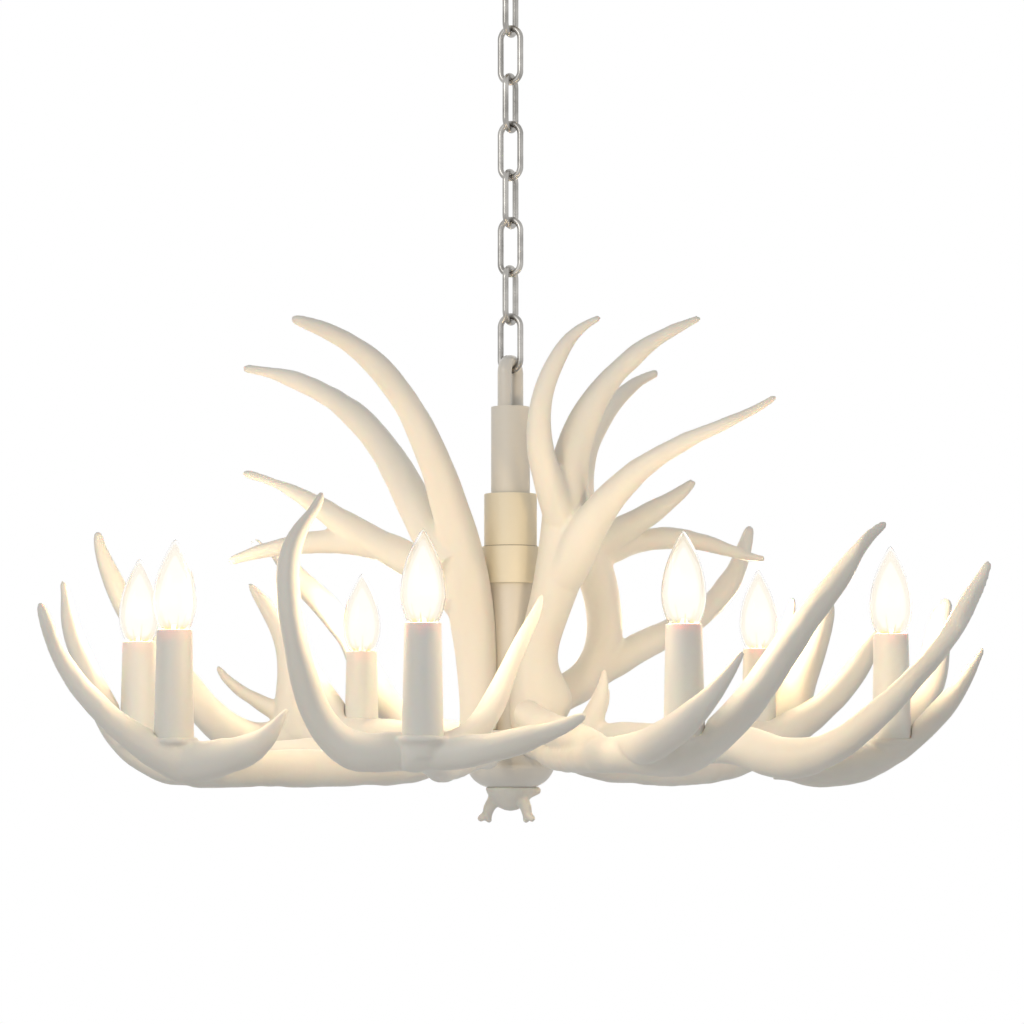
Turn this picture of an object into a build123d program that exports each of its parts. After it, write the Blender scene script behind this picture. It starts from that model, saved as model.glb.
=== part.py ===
from build123d import *
import os
from math import asin, cos, hypot, radians, sin

# An antler chandelier with eight candle lights, hung from a ceiling plate on a chain.
# Frame: millimetres, +Z up, origin at the centre of the face that meets the ceiling.
# The lamp below the chain is drawn at its own height H, which is 0 at the underside of
# the lower antlers; at(h) turns such a height into Z.

# ---- ceiling fitting
CANOPY_R = 60.0
CANOPY_DEPTH = 27.0
CANOPY_WALL = 1.5
CANOPY_EDGE = 5.0           # straight band at the ceiling
BAR_LENGTH = 104.0
BAR_WIDTH = 22.0
BAR_THICK = 2.5
BAR_SLOT_PITCH = 70.0       # between the middles of the two screw slots
BAR_SLOT_LENGTH = 18.0
BAR_SLOT_WIDTH = 5.2
BAR_BOSS_R = 9.0
BAR_BOSS_HIGH = 7.0
STEM_R = 5.0                # hollow threaded stem that carries everything
STEM_FIT = 0.2
LOCKNUT_FLATS = 17.0
LOCKNUT_HIGH = 4.0
EYE_COLLAR_R = 10.0
EYE_COLLAR_HIGH = 7.0
EYE_WIRE_R = 2.8
EYE_INNER_R = 8.0

# ---- chain
LINKS = 8
LINK_LENGTH = 52.0          # outside
LINK_WIDTH = 24.0           # outside
LINK_WIRE_R = 2.6
LINK_GAP = 0.25             # left between two wires that hang in each other
CHAIN_TURN = -27.0          # azimuth of the plane of every second link, degrees

# ---- lamp loop and column, radii and heights H
LOOP_BAR_WIDTH = 12.0       # across the plane of the loop
LOOP_BAR_THICK = 11.0
LOOP_BAR_ROUND = 5.4
LOOP_INNER_R = 5.5
LOOP_STUD_R = 3.0
LOOP_STUD_LONG = 7.0
COLUMN_TOP = 316.5
LOOP_RISE = 31.0            # column top to the middle of the wire that carries the loop
UPPER_TUBE_R = 16.5
CENTRE_TUBE_R = 20.5
COLLAR_R = CENTRE_TUBE_R + 1.9
COLLAR_TOP = 242.5
LOWER_SLEEVE_R = CENTRE_TUBE_R + 3.8
LOWER_SLEEVE_TOP = 197.5
LOWER_SLEEVE_FOOT = 166.5
TUBE_WALL = 1.5
CAP_THICK = 3.0
SLIP_FIT = 0.2
ROD_R = 5.0

# ---- hub, bowl and finial
HUB_R = CENTRE_TUBE_R + 13.5
HUB_WALL = 6.0
HUB_FOOT = 13.4
FLANGE_UNDER = 36.0
FLANGE_THICK = 6.0
FLANGE_R = HUB_R + 16
BOWL_R = HUB_R + 2.7
BOWL_FOOT = -5.0
BOWL_WALL = 2.5
FINIAL_R = 21.0
FINIAL_FOOT = -24.5
FINIAL_LEG_FOOT = -32.0
SCREW_R = 2.4
SCREW_HEAD_R = 4.0
SCREW_HEAD_HIGH = 2.8
SCREW_LONG = 18.0
SCREW_FIT = 0.1
UPPER_SCREW_RING = CENTRE_TUBE_R + 3.3      # radius at which the upper antlers' screws stand

# ---- candles
CANDLE_TOP = 119.0          # H of every sleeve's rim
SLEEVE_TOP_R = 14.0
SLEEVE_TAPER = 0.022        # radius gained per millimetre of height
SLEEVE_WALL = 1.6
SEAT_FIT = 0.8              # between the sleeve's foot and the edge of its seat
SEAT_DEEP = 16.0            # of the swelling under a sleeve
HOLDER_R = SLEEVE_TOP_R - SLEEVE_WALL - 0.8
HOLDER_HIGH = 30.0
HOLDER_BELOW_RIM = 5.0
HOLDER_BORE_R = 7.2
HOLDER_FLOOR = 6.0
NIPPLE_R = 5.0
NIPPLE_BORE_R = 3.5
NIPPLE_DEEP = 14.0          # into the antler, below the seat
NUT_FLATS = 14.0
NUT_HIGH = 3.0

# ---- bulb
CAP_R = 6.9
CAP_LONG = 24.0
CAP_WALL = 0.5
GLASS_R = 17.5
GLASS_NECK_R = 7.6
GLASS_LONG = 76.0
GLASS_WALL = 0.9
GLASS_BELOW_RIM = 4.5
BULB_FIT = 0.3

# ---- antlers: every limb is a list of stations (x, y, H, radius), root first.
UPPER_ANTLERS = {
    "left": [
        [(-27, -23, 40, 16), (-29, -21, 100, 17), (-36, -25, 165, 18.5), (-51, -40, 230, 16),
         (-77, -55, 296, 12.5), (-110, -63, 343, 10), (-155, -66, 373, 6.3), (-178, -66, 381, 4)],
        [(-48, -34, 180, 15), (-72, -10, 215, 16), (-98, 20, 267, 14), (-135, 45, 314, 11),
         (-182, 60, 343, 7.5), (-228, 66, 355, 4)],
        [(-42, -24, 150, 15), (-86, 20, 188, 15), (-114, 40, 203, 13), (-152, 60, 227, 10),
         (-190, 72, 250, 6), (-229, 80, 265, 3.5)],
        [(-100, 32, 194, 12), (-134, 55, 204, 10.5), (-180, 72, 204, 8.5), (-241, 85, 190, 3.5)],
    ],
    "right": [
        [(19, -29, 40, 17), (22, -30, 105, 17.5), (35, -33, 152, 18.5), (45, -38, 200, 20.5),
         (48, -47, 250, 17), (71, -58, 317, 11.2), (100, -62, 350, 8), (137, -64, 374, 5),
         (155, -64, 382, 3.5)],
        [(44, -42, 212, 16), (29, -70, 257, 12.5), (24, -84, 297, 10), (35, -92, 340, 7.2),
         (57, -96, 370, 4.5), (72, -96, 379, 3)],
        [(44, -38, 170, 17), (67, -60, 212, 15.5), (95, -75, 246, 11.2), (140, -88, 276, 7.2),
         (215, -100, 312, 2.8)],
    ],
    "back": [
        [(28, 27, 40, 15), (36, 33, 68, 16), (60, 52, 84, 16.3), (78, 67, 110, 16),
         (81, 71, 145, 15.5), (70, 63, 190, 16.5), (59, 54, 232, 15), (66, 60, 290, 11.3),
         (97, 80, 335, 7), (126, 90, 354, 3.5)],
        [(70, 62, 190, 14), (104, 80, 205, 10.5), (153, 105, 210, 8.8), (204, 130, 198, 4.6),
         (221, 138, 195, 3.5)],
        [(67, 60, 196, 14), (92, 62, 213, 12.8), (128, 68, 235, 8.8), (157, 78, 257, 3.3)],
        [(58, 50, 82, 14), (104, 80, 111, 13), (153, 120, 137, 11.4), (193, 160, 174, 9.8),
         (209, 183, 208, 6.8), (214, 193, 224, 4.5)],
    ],
}

# Each lower antler: the azimuth of its root on the hub (0 is towards -Y, 90 towards +X),
# where its candle stands (x, y, H of the seat), and its limbs beyond the root.
LOWER_ANTLERS = [
    (-54, (-265, -186, 33), [
        [(-67, -50, 16, 13.3), (-115, -88, 11, 14.7), (-170, -130, 10, 15), (-220, -165, 10, 15.4),
         (-259, -186, 15, 16.5), (-286, -190, 28, 12.8), (-308, -195, 44, 10.6), (-340, -205, 78, 8.2),
         (-357, -211, 108, 6), (-367, -214, 136, 3)],
        [(-251, -189, 15, 15.5), (-232, -200, 17, 15), (-211, -212, 22, 12.9),
         (-193, -222, 31, 9.4), (-181, -230, 44, 5.6), (-173, -235, 55, 2.4)],
    ]),
    (-12, (-66, -310, 33), [
        [(-20, -90, 22, 12.5), (-42, -180, 16, 14), (-64, -268, 20, 14), (-90, -303, 22, 14.6),
         (-118, -313, 23, 14.8), (-139, -317, 40, 12.2), (-157, -320, 84, 10.4),
         (-167, -319, 140, 9.6), (-163, -312, 180, 7.4), (-153, -306, 199, 5.2),
         (-144, -301, 216, 2.8)],
        [(-82, -306, 22, 13.5), (-50, -300, 24, 12.9), (-25, -290, 40, 10.7), (-5, -273, 76, 8.4),
         (13, -258, 116, 5.6), (24, -251, 142, 2.4)],
        [(-66, -302, 22, 13), (-30, -315, 22, 12.2), (-4, -323, 27, 11), (24, -330, 35, 8.5),
         (54, -337, 48, 3)],
    ]),
    (23, (132, -290, 33), [
        [(32, -90, 23, 12), (50, -160, 20, 13.5), (72, -222, 20, 14), (104, -262, 19, 14.8),
         (136, -286, 22, 16), (164, -290, 41, 14), (199, -289, 85, 12), (231, -285, 129, 10.4),
         (260, -281, 167, 7.2), (286, -278, 196, 2.8)],
        [(82, -240, 22, 13), (103, -292, 26, 13.4), (119, -318, 35, 12.6), (138, -330, 51, 10.2),
         (160, -336, 76, 6.3), (173, -338, 95, 2.6)],
        [(68, -214, 24, 12.5), (49, -166, 35, 12.8), (29, -116, 44, 12.8), (13, -78, 55, 12.3)],
    ]),
    (71, (309, -103, 33), [
        [(68, -30, 33, 12.5), (100, -48, 34, 14.6), (139, -78, 30, 15.6), (191, -108, 27, 16.2),
         (234, -130, 18, 16), (267, -142, 32, 12.6), (310, -153, 70, 9.4), (348, -160, 114, 8),
         (378, -164, 168, 3)],
        [(214, -106, 16, 15.3), (258, -104, 11, 16.2), (286, -102, 15, 14.7), (311, -102, 25, 11.5),
         (341, -102, 48, 9.6), (369, -102, 83, 6.2), (383, -102, 106, 2.5)],
        [(288, -96, 18, 12.3), (326, -62, 49, 12.4), (345, -46, 76, 12.8), (354, -34, 112, 11.5),
         (363, -27, 147, 6)],
        [(64, -34, 36, 12), (71, -37, 57, 9.5), (76, -38, 74, 6.3), (78, -40, 91, 2.5)],
    ]),
    (136, (224, 228, 53), [
        [(56, 60, 20, 13), (112, 122, 13, 15.8), (169, 180, 14, 17), (220, 222, 32, 20),
         (263, 215, 53, 14.4), (292, 205, 77, 12.2), (318, 197, 112, 9.5), (335, 190, 147, 3.4)],
        [(226, 236, 32, 16), (257, 252, 64, 14), (268, 256, 101, 14.2), (280, 257, 134, 12),
         (289, 257, 158, 6.8)],
        [(222, 244, 34, 12), (236, 263, 62, 10.8), (246, 266, 106, 9), (253, 266, 140, 6.4),
         (258, 264, 165, 3)],
    ]),
    (176, (24, 318, 53), [
        [(8, 100, 28, 13), (18, 200, 31, 14.4), (26, 290, 35, 17), (10, 328, 37, 17),
         (-38, 330, 40, 16), (-85, 330, 47, 15), (-115, 334, 70, 14), (-145, 339, 124, 12.6),
         (-187, 342, 177, 11.3), (-224, 344, 217, 4)],
        [(24, 306, 36, 15), (58, 328, 42, 11), (80, 338, 62, 7.5), (90, 342, 84, 3)],
    ]),
    (205, (-137, 290, 57), [
        [(-40, 90, 28, 13), (-80, 180, 35, 15), (-128, 276, 40, 17.6), (-177, 298, 40, 18.2),
         (-214, 300, 37, 17.6), (-247, 288, 39, 17.4), (-278, 272, 63, 15.6),
         (-303, 262, 95, 13.8), (-330, 252, 129, 12.2), (-350, 246, 159, 10.5), (-366, 242, 192, 8),
         (-375, 239, 222, 4.6)],
        [(-196, 298, 40, 17), (-201, 300, 84, 15.5), (-204, 300, 117, 12.3), (-219, 302, 151, 9),
         (-241, 304, 181, 2.8)],
        [(-150, 292, 44, 15), (-174, 298, 78, 13), (-200, 300, 122, 11.2)],
        [(-198, 300, 52, 12), (-229, 306, 71, 7.4), (-252, 310, 85, 5.4), (-271, 314, 104, 2.4)],
    ]),
    (258, (-319, 66, 33), [
        [(-66, 14, 28, 13), (-120, 28, 25, 14.5), (-180, 44, 20, 15.4), (-241, 58, 16, 16.2),
         (-298, 66, 16, 16.3), (-326, 68, 31, 13.8), (-345, 66, 57, 12.1), (-366, 60, 102, 9.5),
         (-379, 55, 145, 6.2), (-383, 53, 168, 3)],
        [(-290, 76, 18, 14.5), (-303, 125, 53, 11.4), (-312, 150, 89, 8.9), (-318, 163, 122, 4)],
    ]),
]
NOSE_PART = 0.9             # a tip's round nose, as a part of the radius there
BALANCE_SHIFT = 18.0        # outer limbs and candles lie this far towards -Y, so the lamp hangs level
BALANCE_REACH = 150.0       # from the hub to where the whole shift is reached
ROOT_H = 28.0
ROOT_R = 8.5
ROOT_INSIDE = 4.0           # how far a root runs into the hub before it is trimmed

SIDE_X = Vector(cos(radians(CHAIN_TURN)), sin(radians(CHAIN_TURN)), 0)
SIDE_Y = Vector(-sin(radians(CHAIN_TURN)), cos(radians(CHAIN_TURN)), 0)

# ---- heights that follow from the sizes above
EYE_Z = -(CANOPY_DEPTH + EYE_COLLAR_HIGH + 2 * EYE_INNER_R + EYE_WIRE_R)
LINK_PITCH = LINK_LENGTH - 4 * LINK_WIRE_R - LINK_GAP
LAST_WIRE_Z = EYE_Z - (LINK_WIRE_R - EYE_WIRE_R) - LINKS * LINK_PITCH
LAMP_Z = LAST_WIRE_Z - LOOP_RISE - COLUMN_TOP


def at(h):
    """Z of a height H on the lamp."""
    return LAMP_Z + h


def upright(radius, low, high, x=0.0, y=0.0):
    """A cylinder between two values of Z."""
    return Pos(x, y, (low + high) / 2) * Cylinder(radius, high - low)


def hexagon(flats, low, high, x=0.0, y=0.0):
    """A hexagonal nut blank between two values of Z."""
    blank = extrude(RegularPolygon(flats / 2, 6, major_radius=False), high - low)
    return Pos(x, y, low) * blank


def around(azimuth, radius):
    """x and y at an azimuth: 0 degrees looks towards -Y and 90 towards +X."""
    return radius * sin(radians(azimuth)), -radius * cos(radians(azimuth))


def balanced(x, y):
    """A place in plan, moved so that the lamp's weight hangs under the chain."""
    part = min(1, max(0, (hypot(x, y) - FLANGE_R) / BALANCE_REACH))
    return x, y - BALANCE_SHIFT * part


def limb(stations, nose=True):
    """A smooth tapering limb through its stations, with a round nose at the tip."""
    spots = [Vector(*balanced(x, y), at(h)) for x, y, h, _ in stations]
    last = len(spots) - 1
    courses = [(spots[min(i + 1, last)] - spots[max(i - 1, 0)]).normalized()
               for i in range(last + 1)]
    side = courses[0].cross(Vector(0, 1, 0.3)).normalized()
    sections = []
    for spot, course, station in zip(spots, courses, stations):
        side = (side - course * side.dot(course)).normalized()
        sections.append(Plane(origin=spot, x_dir=side, z_dir=course) * Circle(station[3]))
    body = loft(sections)
    if nose:
        tip = Plane(origin=spots[-1], x_dir=side, z_dir=courses[-1])
        body += tip * Sphere(stations[-1][3] * NOSE_PART)
    return body


def antler(limbs):
    """The limbs of one antler in one piece."""
    body = limb(limbs[0])
    for stations in limbs[1:]:
        body += limb(stations)
    return body


def ring_half(radius, wire_r, centre, along, up):
    """Half of a wire ring above its centre, in the plane of along and up."""
    place = Plane(origin=centre, x_dir=along, z_dir=along.cross(up))
    return place * Torus(radius, wire_r, major_angle=180, align=None)


def strut(start, end, radius):
    """A round bar from one point to another."""
    return Plane(origin=start, z_dir=end - start) * Cylinder(
        radius, (end - start).length, align=(Align.CENTER, Align.CENTER, Align.MIN))


# ---- ceiling fitting
def canopy():
    outer = [(0, 0), (CANOPY_R, 0), (CANOPY_R, -CANOPY_EDGE)]
    crown = (EYE_COLLAR_R + 4, -CANOPY_DEPTH)
    profile = Polyline(*outer)
    profile += ThreePointArc((CANOPY_R, -CANOPY_EDGE), (CANOPY_R * 0.74, -CANOPY_DEPTH * 0.74), crown)
    profile += Polyline(crown, (0, -CANOPY_DEPTH), (0, 0))
    solid = revolve(Plane.XZ * make_face(profile), Axis.Z)
    inner_r = CANOPY_R - CANOPY_WALL
    inner_deep = CANOPY_DEPTH - CANOPY_WALL
    inner_crown = (EYE_COLLAR_R + 4, -inner_deep)
    hollow = Polyline((0, 0), (inner_r, 0), (inner_r, -CANOPY_EDGE))
    hollow += ThreePointArc((inner_r, -CANOPY_EDGE), (inner_r * 0.735, -inner_deep * 0.735), inner_crown)
    hollow += Polyline(inner_crown, (0, -inner_deep), (0, 0))
    solid -= revolve(Plane.XZ * make_face(hollow), Axis.Z)
    return solid - upright(STEM_R + STEM_FIT, -CANOPY_DEPTH - 1, 0)


def mounting_bar():
    bar = Pos(0, 0, -BAR_THICK / 2) * Box(BAR_LENGTH, BAR_WIDTH, BAR_THICK)
    bar = fillet(bar.edges().filter_by(Axis.Z), BAR_WIDTH * 0.3)
    bar += upright(BAR_BOSS_R, -BAR_THICK - BAR_BOSS_HIGH, -BAR_THICK)
    slot = extrude(SlotCenterToCenter(BAR_SLOT_LENGTH - BAR_SLOT_WIDTH, BAR_SLOT_WIDTH), BAR_THICK)
    for side in (-1, 1):
        bar -= Pos(side * BAR_SLOT_PITCH / 2, 0, -BAR_THICK) * slot
    return bar - upright(STEM_R + STEM_FIT, -BAR_THICK - BAR_BOSS_HIGH, 0)


def canopy_loop():
    centre = Vector(0, 0, EYE_Z + EYE_INNER_R + EYE_WIRE_R)
    eye = Plane(origin=centre, x_dir=SIDE_X, z_dir=SIDE_Y) * Torus(
        EYE_INNER_R + EYE_WIRE_R, EYE_WIRE_R)
    collar = upright(EYE_COLLAR_R, -CANOPY_DEPTH - EYE_COLLAR_HIGH, -CANOPY_DEPTH)
    collar = chamfer(collar.edges().sort_by(Axis.Z)[0], 1.5)
    stem = upright(STEM_R, -CANOPY_DEPTH, -0.5)
    bore = upright(STEM_R - 1.6, -CANOPY_DEPTH, 0)
    return eye + collar + (stem - bore)


def stem_locknut():
    top = -BAR_THICK - BAR_BOSS_HIGH
    nut = hexagon(LOCKNUT_FLATS, top - LOCKNUT_HIGH, top)
    return nut - upright(STEM_R + STEM_FIT, top - LOCKNUT_HIGH, top)


# ---- chain
def chain_link(number):
    """Link number 1 hangs in the eye; even links lie in the plane of SIDE_X."""
    along = SIDE_X if number % 2 == 0 else SIDE_Y
    bend_r = LINK_WIDTH / 2 - LINK_WIRE_R
    carrier_r = EYE_WIRE_R if number == 1 else LINK_WIRE_R
    first = EYE_Z - (LINK_WIRE_R - EYE_WIRE_R)
    carrier_z = EYE_Z if number == 1 else first - (number - 1) * LINK_PITCH
    crown_z = carrier_z + carrier_r + LINK_GAP + LINK_WIRE_R
    upper = Vector(0, 0, crown_z - bend_r)
    lower = Vector(0, 0, first - number * LINK_PITCH + bend_r)
    link = ring_half(bend_r, LINK_WIRE_R, upper, along, Vector(0, 0, 1))
    link += ring_half(bend_r, LINK_WIRE_R, lower, along * -1, Vector(0, 0, -1))
    for side in (-1, 1):
        offset = along * (side * bend_r)
        link += strut(lower + offset, upper + offset, LINK_WIRE_R)
    return link


# ---- column
def lamp_loop():
    """An inverted U of flattened bar; the last chain link passes through it."""
    bend_r = LOOP_INNER_R + LOOP_BAR_THICK / 2
    crown = LAST_WIRE_Z + LINK_WIRE_R + LINK_GAP - LOOP_INNER_R
    section = RectangleRounded(LOOP_BAR_THICK, LOOP_BAR_WIDTH, LOOP_BAR_ROUND)
    legs = [SIDE_Y * side * bend_r for side in (-1, 1)]
    arch_face = Plane(origin=Vector(0, 0, crown) + legs[0], x_dir=SIDE_Y, z_dir=(0, 0, 1)) * section
    loop = revolve(arch_face, Axis(Vector(0, 0, crown), SIDE_X * -1), 180)
    for leg in legs:
        foot = Plane(origin=Vector(0, 0, at(COLUMN_TOP)) + leg, x_dir=SIDE_Y, z_dir=(0, 0, 1))
        loop += extrude(foot * section, crown - at(COLUMN_TOP))
        loop += foot * Pos(0, 0, -LOOP_STUD_LONG / 2) * Cylinder(LOOP_STUD_R, LOOP_STUD_LONG)
    return loop


def column_tube(radius, foot, top, capped, bore_r):
    """A tube between two heights H, closed at its top by a plate with a bore."""
    tube = upright(radius, at(foot), at(top))
    ceiling = top - CAP_THICK if capped else top
    tube -= upright(radius - TUBE_WALL, at(foot), at(ceiling))
    if capped:
        tube -= upright(bore_r, at(foot), at(top))
    return tube


def upper_tube():
    tube = column_tube(UPPER_TUBE_R, COLLAR_TOP, COLUMN_TOP, True, ROD_R + SLIP_FIT)
    bend_r = LOOP_INNER_R + LOOP_BAR_THICK / 2
    for side in (-1, 1):
        x, y = SIDE_Y.X * side * bend_r, SIDE_Y.Y * side * bend_r
        tube -= upright(LOOP_STUD_R + SLIP_FIT, at(COLUMN_TOP - CAP_THICK), at(COLUMN_TOP), x, y)
    return tube


def upper_collar():
    collar = column_tube(COLLAR_R, LOWER_SLEEVE_TOP, COLLAR_TOP, True, ROD_R + SLIP_FIT)
    rim = collar.edges().filter_by(GeomType.CIRCLE).sort_by(Axis.Z)[-2:].sort_by(SortBy.RADIUS)[-1]
    return fillet(rim, 0.8)


def lower_sleeve():
    sleeve = column_tube(LOWER_SLEEVE_R, LOWER_SLEEVE_FOOT, LOWER_SLEEVE_TOP, True, ROD_R + SLIP_FIT)
    guide = upright(LOWER_SLEEVE_R - TUBE_WALL, at(LOWER_SLEEVE_FOOT), at(LOWER_SLEEVE_FOOT + 8))
    guide -= upright(CENTRE_TUBE_R + SLIP_FIT, at(LOWER_SLEEVE_FOOT), at(LOWER_SLEEVE_FOOT + 8))
    return sleeve + guide


def centre_tube():
    top = LOWER_SLEEVE_TOP - CAP_THICK
    return column_tube(CENTRE_TUBE_R, FLANGE_UNDER + FLANGE_THICK, top, True, ROD_R + SLIP_FIT)


def centre_rod():
    rod = upright(ROD_R, at(FINIAL_FOOT + 9), at(COLUMN_TOP - CAP_THICK - 4))
    return rod - upright(ROD_R - 1.5, at(FINIAL_FOOT + 9), at(COLUMN_TOP))


# ---- hub, bowl, finial and screws
def screw_places():
    """Where each antler's screw enters: (origin, direction), one for every antler."""
    places = []
    for azimuth, _, _ in LOWER_ANTLERS:
        x, y = around(azimuth, (HUB_R - HUB_WALL) * cos(asin(SCREW_HEAD_R / (HUB_R - HUB_WALL))))
        places.append((Vector(x, y, at(ROOT_H)), Vector(x, y, 0).normalized()))
    for limbs in UPPER_ANTLERS.values():
        x, y = limbs[0][0][:2]
        scale = UPPER_SCREW_RING / hypot(x, y)
        places.append((Vector(x * scale, y * scale, at(FLANGE_UNDER)), Vector(0, 0, 1)))
    return places


def screw(place, grow=0.0):
    """A cap screw; grown by a clearance it is the hole that the screw needs."""
    origin, course = place
    seat = Plane(origin=origin, z_dir=course)
    bottom = (Align.CENTER, Align.CENTER, Align.MIN)
    shank = seat * Cylinder(SCREW_R + grow, SCREW_LONG + grow, align=bottom)
    if grow:
        return shank
    head = seat * Pos(0, 0, -SCREW_HEAD_HIGH) * Cylinder(SCREW_HEAD_R, SCREW_HEAD_HIGH, align=bottom)
    return shank + head


def hub_drum():
    drum = upright(HUB_R, at(HUB_FOOT), at(FLANGE_UNDER))
    drum += upright(FLANGE_R, at(FLANGE_UNDER), at(FLANGE_UNDER + FLANGE_THICK))
    drum -= upright(HUB_R - HUB_WALL, at(HUB_FOOT), at(FLANGE_UNDER))
    drum -= upright(ROD_R + SLIP_FIT, at(FLANGE_UNDER), at(FLANGE_UNDER + FLANGE_THICK))
    for place in screw_places():
        drum -= screw(place, SCREW_FIT)
    return drum


def bottom_bowl():
    rim = HUB_FOOT
    outer = Polyline((0, at(rim)), (BOWL_R, at(rim)), (BOWL_R, at(rim - 3)))
    outer += ThreePointArc((BOWL_R, at(rim - 3)), (BOWL_R * 0.88, at(rim - 11)),
                           (FINIAL_R, at(BOWL_FOOT)))
    outer += Polyline((FINIAL_R, at(BOWL_FOOT)), (0, at(BOWL_FOOT)), (0, at(rim)))
    bowl = revolve(Plane.XZ * make_face(outer), Axis.Z)
    inner_r = HUB_R - HUB_WALL
    hollow = Polyline((0, at(rim)), (inner_r, at(rim)), (inner_r, at(rim - 5)))
    hollow += ThreePointArc((inner_r, at(rim - 5)), (inner_r * 0.9, at(rim - 12)),
                            (FINIAL_R - BOWL_WALL, at(BOWL_FOOT + BOWL_WALL)))
    floor = at(BOWL_FOOT + BOWL_WALL)
    hollow += Polyline((FINIAL_R - BOWL_WALL, floor), (0, floor), (0, at(rim)))
    bowl -= revolve(Plane.XZ * make_face(hollow), Axis.Z)
    return bowl - upright(ROD_R + SLIP_FIT, at(BOWL_FOOT), at(rim))


def horn(azimuth, start, end, foot_r, tip_r):
    """A round-nosed cone between two places (radius, height H) at an azimuth."""
    first, last = (Vector(*around(azimuth, reach), at(h)) for reach, h in (start, end))
    cone = Cone(foot_r, tip_r, (last - first).length, align=(Align.CENTER, Align.CENTER, Align.MIN))
    place = Plane(origin=first, z_dir=last - first)
    return place * cone + Plane(origin=last, z_dir=last - first) * Sphere(tip_r * NOSE_PART)


def finial():
    """A cast drop with three splayed feet and two side lobes."""
    top, foot = BOWL_FOOT, FINIAL_FOOT
    outline = Polyline((0, at(top)), (FINIAL_R, at(top)), (FINIAL_R, at(top - 3)))
    outline += Spline((FINIAL_R, at(top - 3)), (FINIAL_R * 0.74, at(top - 13)), (6, at(foot)))
    outline += Polyline((6, at(foot)), (0, at(foot)), (0, at(top)))
    body = revolve(Plane.XZ * make_face(outline), Axis.Z)
    for azimuth in (-66, 60, 178):
        body += horn(azimuth, (11, -13), (24, FINIAL_LEG_FOOT + 4), 6.2, 4.2)
    for azimuth in (104, 246):
        body += horn(azimuth, (9, -10.5), (25, -11.5), 5.3, 3.8)
    body -= upright(FINIAL_R * 3, at(top), at(top + 20))
    return body - upright(ROD_R + SLIP_FIT, at(FINIAL_FOOT + 8.5), at(top))


def antler_screws():
    return [screw(place) for place in screw_places()]


# ---- antlers
def upper_antler(name, place):
    """Stands on the flange, with a saddle where it leans on the column."""
    body = antler(UPPER_ANTLERS[name])
    top = FLANGE_UNDER + FLANGE_THICK
    body -= upright(FLANGE_R * 2, at(top - 60), at(top))
    body -= upright(CENTRE_TUBE_R, at(top - 1), at(LOWER_SLEEVE_FOOT))
    return body - screw(place, SCREW_FIT)


def lower_antler(number):
    """Runs out from the hub to its candle, whose seat is a flat pad with a bore."""
    azimuth, _, limbs = LOWER_ANTLERS[number]
    x, y, seat = candle_places()[number]
    root_x, root_y = around(azimuth, HUB_R - ROOT_INSIDE)
    neck_x, neck_y = around(azimuth, HUB_R + 6)
    root = [(root_x, root_y, ROOT_H, ROOT_R), (neck_x, neck_y, ROOT_H, ROOT_R)]
    body = antler([root + limbs[0]] + limbs[1:])
    foot_r = SLEEVE_TOP_R + SLEEVE_TAPER * (CANDLE_TOP - seat)
    body += Pos(x, y, at(seat - SEAT_DEEP / 2)) * Cone(foot_r * 0.7, foot_r + 0.6, SEAT_DEEP)
    body -= upright(foot_r + SEAT_FIT, at(seat), at(CANDLE_TOP), x, y)
    body -= upright(NIPPLE_R + SLIP_FIT, at(seat - NIPPLE_DEEP), at(seat), x, y)
    body -= upright(HUB_R, at(0), at(FLANGE_UNDER))
    body -= upright(FLANGE_R, at(FLANGE_UNDER), at(FLANGE_UNDER + FLANGE_THICK))
    return body - screw(screw_places()[number], SCREW_FIT)


# ---- candles
def candle_places():
    """(x, y, height H of the seat) of every candle."""
    return [(*balanced(x, y), seat) for _, (x, y, seat), _ in LOWER_ANTLERS]


def candle_sleeve(x, y, seat):
    length = CANDLE_TOP - seat
    foot_r = SLEEVE_TOP_R + SLEEVE_TAPER * length
    middle = Pos(x, y, at(seat + length / 2))
    sleeve = middle * Cone(foot_r, SLEEVE_TOP_R, length)
    sleeve = fillet(sleeve.edges().sort_by(Axis.Z)[-1], 0.7)
    return sleeve - middle * Cone(foot_r - SLEEVE_WALL, SLEEVE_TOP_R - SLEEVE_WALL, length)


def lampholder(x, y):
    top = CANDLE_TOP - HOLDER_BELOW_RIM
    foot = top - HOLDER_HIGH
    holder = upright(HOLDER_R, at(foot), at(top), x, y)
    holder -= upright(HOLDER_BORE_R, at(foot + HOLDER_FLOOR), at(top), x, y)
    return holder - upright(NIPPLE_R + SLIP_FIT, at(foot), at(foot + HOLDER_FLOOR - 2), x, y)


def candle_nipple(x, y, seat):
    foot = seat - NIPPLE_DEEP
    top = CANDLE_TOP - HOLDER_BELOW_RIM - HOLDER_HIGH + HOLDER_FLOOR - 2
    nipple = upright(NIPPLE_R, at(foot), at(top), x, y)
    return nipple - upright(NIPPLE_BORE_R, at(foot), at(top), x, y)


def candle_nut(x, y, seat):
    nut = hexagon(NUT_FLATS, at(seat), at(seat + NUT_HIGH), x, y)
    return nut - upright(NIPPLE_R + SLIP_FIT, at(seat), at(seat + NUT_HIGH), x, y)


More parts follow.
